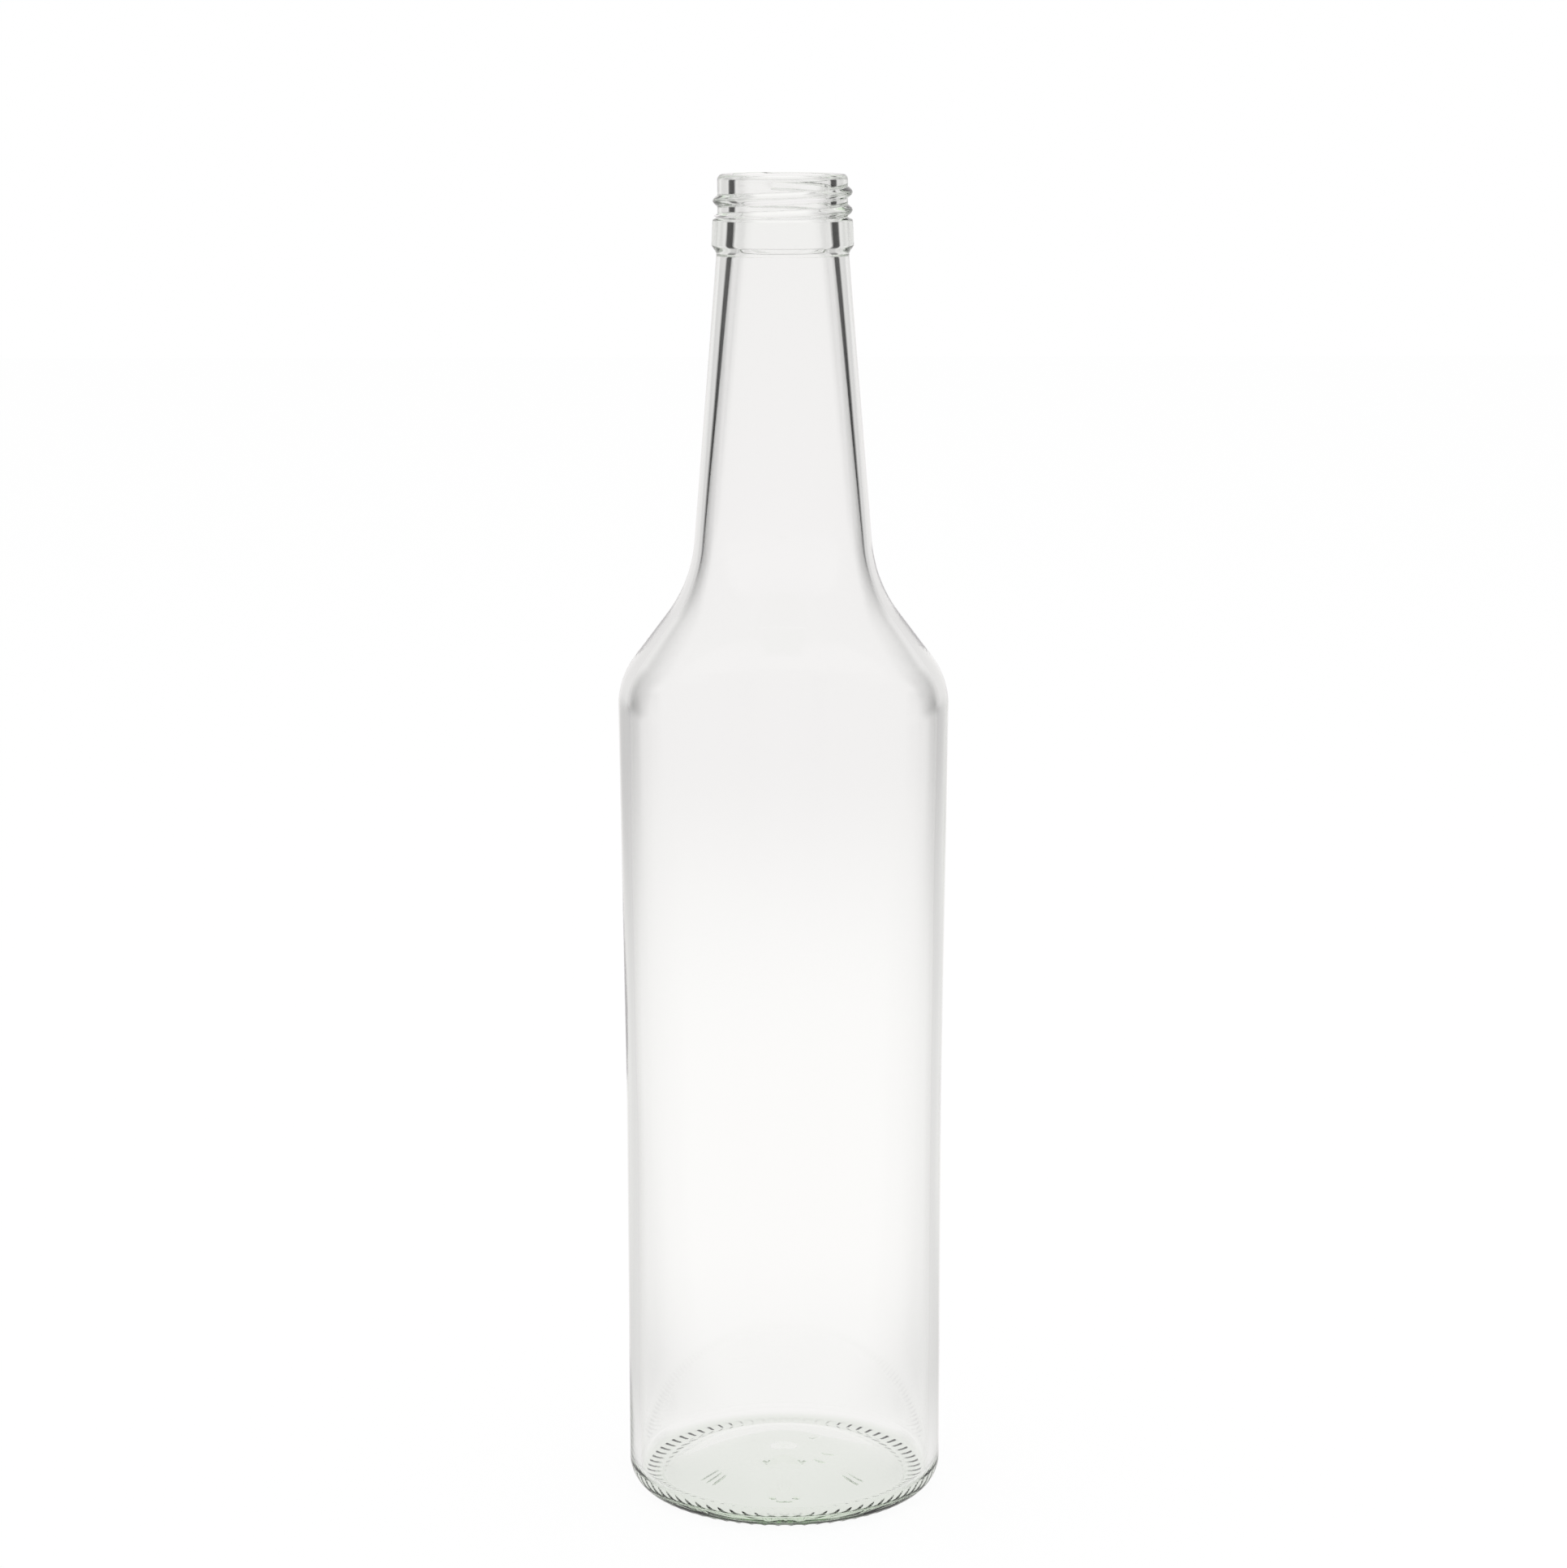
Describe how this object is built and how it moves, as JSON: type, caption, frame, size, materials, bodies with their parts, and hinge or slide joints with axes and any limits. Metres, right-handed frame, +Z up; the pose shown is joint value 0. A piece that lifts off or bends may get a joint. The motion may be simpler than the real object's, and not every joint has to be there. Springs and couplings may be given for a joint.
{
  "type": "glass bottle",
  "caption": "Empty clear glass bottle: round body, sloping shoulder, tall tapered neck, locking collar and single start screw thread, ribbed foot.",
  "frame": {"origin": "centre of the foot, on the surface that the bottle stands on", "axes": "+Z up along the bottle's axis, the shoulder lug faces -Y"},
  "size_m": [0.0664, 0.0664, 0.269],
  "materials": {
    "clear_glass": "smooth, clear, faint green where the glass is thick"
  },
  "bodies": {
    "root": {"glass_bottle": "clear_glass"}
  },
  "joints": []
}
